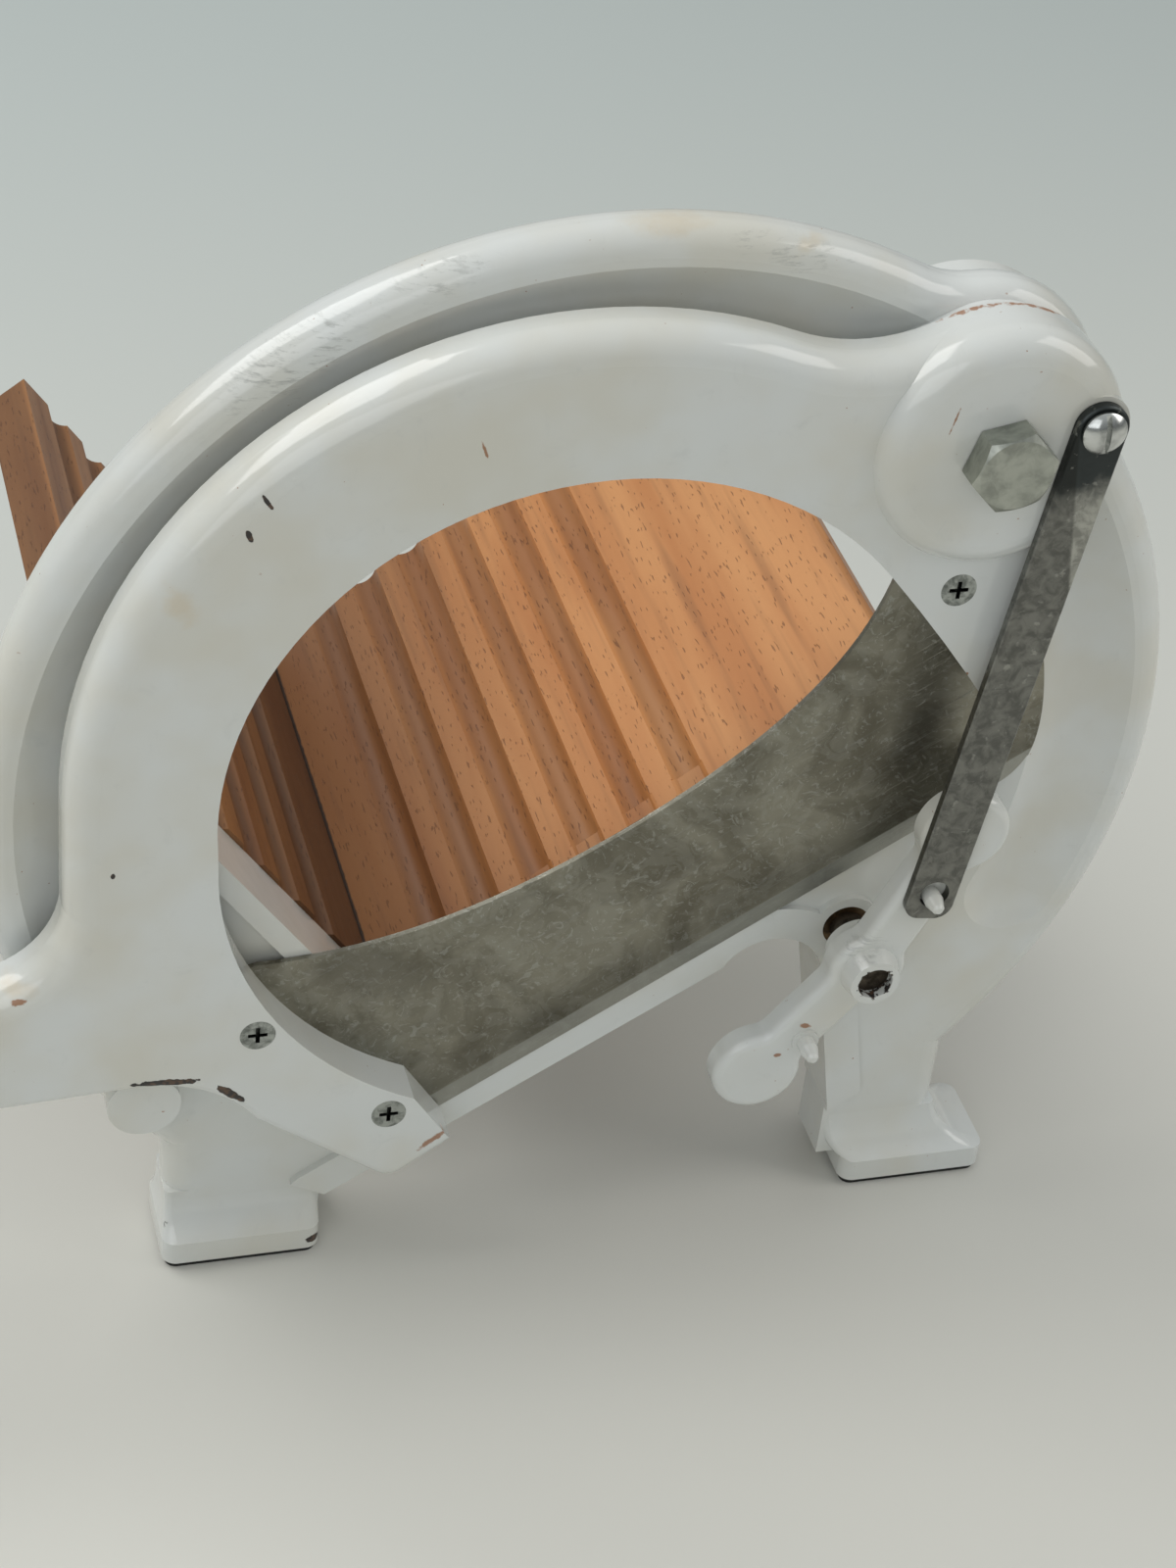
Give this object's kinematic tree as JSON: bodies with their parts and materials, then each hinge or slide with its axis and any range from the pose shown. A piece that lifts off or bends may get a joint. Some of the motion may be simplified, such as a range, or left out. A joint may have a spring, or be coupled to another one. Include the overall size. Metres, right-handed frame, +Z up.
{
  "type": "hand bread slicer",
  "caption": "Hand bread slicer: an open ring frame carries a tilting grooved trough, a lever arm with a blade, and a crank link that rocks a feed shaft.",
  "frame": {"origin": "on the table, under the middle of the left front foot", "axes": "+X to the right along the slicing plane, +Y away from the user along the trough, +Z up"},
  "size_m": [0.4082, 0.204, 0.304],
  "materials": {
    "enamel": "glossy white stove enamel on cast metal",
    "enamel_pins": "white enamel over steel pins",
    "pad_rubber": "black rubber",
    "beech_bed": "oiled beech",
    "beech_fence": "oiled beech",
    "screw_steel": "dull zinc-plated steel",
    "zinc_steel": "zinc-plated steel",
    "nickel_steel": "nickel-plated steel",
    "bush_bronze": "sintered bronze",
    "bush_steel": "dark steel",
    "blade_steel": "stained blade steel",
    "link_steel": "blued and worn flat steel",
    "shaft_steel": "dark steel",
    "clutch_steel": "turned steel"
  },
  "bodies": {
    "root": {"frame_casting": "enamel", "front_pads": "pad_rubber", "bed_board": "beech_bed", "fence_board": "beech_fence", "rear_stand": "enamel", "rear_pads": "pad_rubber", "front_board_screws": "screw_steel", "rear_board_screws": "screw_steel", "corner_screws": "screw_steel", "pivot_bolt": "zinc_steel", "pivot_sleeve": "bush_bronze", "pivot_lock_washer": "zinc_steel", "pivot_nut": "zinc_steel", "front_bush": "bush_steel", "rear_bush": "bush_steel"},
    "arm": {"cutting_arm": "enamel", "slicing_blade": "blade_steel", "blade_screws": "screw_steel", "crank_screw": "nickel_steel"},
    "link": {"feed_link": "link_steel"},
    "rocker": {"rocker_lever": "enamel", "drive_pins": "enamel_pins", "rocker_shaft": "shaft_steel", "rocker_cross_pin": "shaft_steel", "clutch_drum": "clutch_steel", "clutch_cover": "clutch_steel"},
    "spindle": {"clutch_cam": "clutch_steel", "clutch_rollers": "shaft_steel", "feed_spindle": "shaft_steel", "spindle_collar": "zinc_steel"}
  },
  "joints": [
    {"name": "arm_lift", "type": "hinge", "parent": "root", "child": "arm", "pos_m": [0.171, 0, 0.252], "axis": [0, 1, 0], "range_deg": [0, 55]},
    {"name": "link_swing", "type": "hinge", "parent": "arm", "child": "link", "pos_m": [0.19335, 0, 0.2596], "axis": [0, 1, 0], "range_deg": [-65, 0]},
    {"name": "rocker_swing", "type": "hinge", "parent": "root", "child": "rocker", "pos_m": [0.1615, 0, 0.0949], "axis": [0, 1, 0], "range_deg": [0, 60]},
    {"name": "spindle_turn", "type": "hinge", "parent": "root", "child": "spindle", "pos_m": [0.1615, 0, 0.0949], "axis": [0, 1, 0], "continuous": true}
  ],
  "couplings": [
    {"joint": "link_swing", "follows": "arm_lift", "ratio": -1.142},
    {"joint": "rocker_swing", "follows": "arm_lift", "ratio": 1.0637}
  ]
}
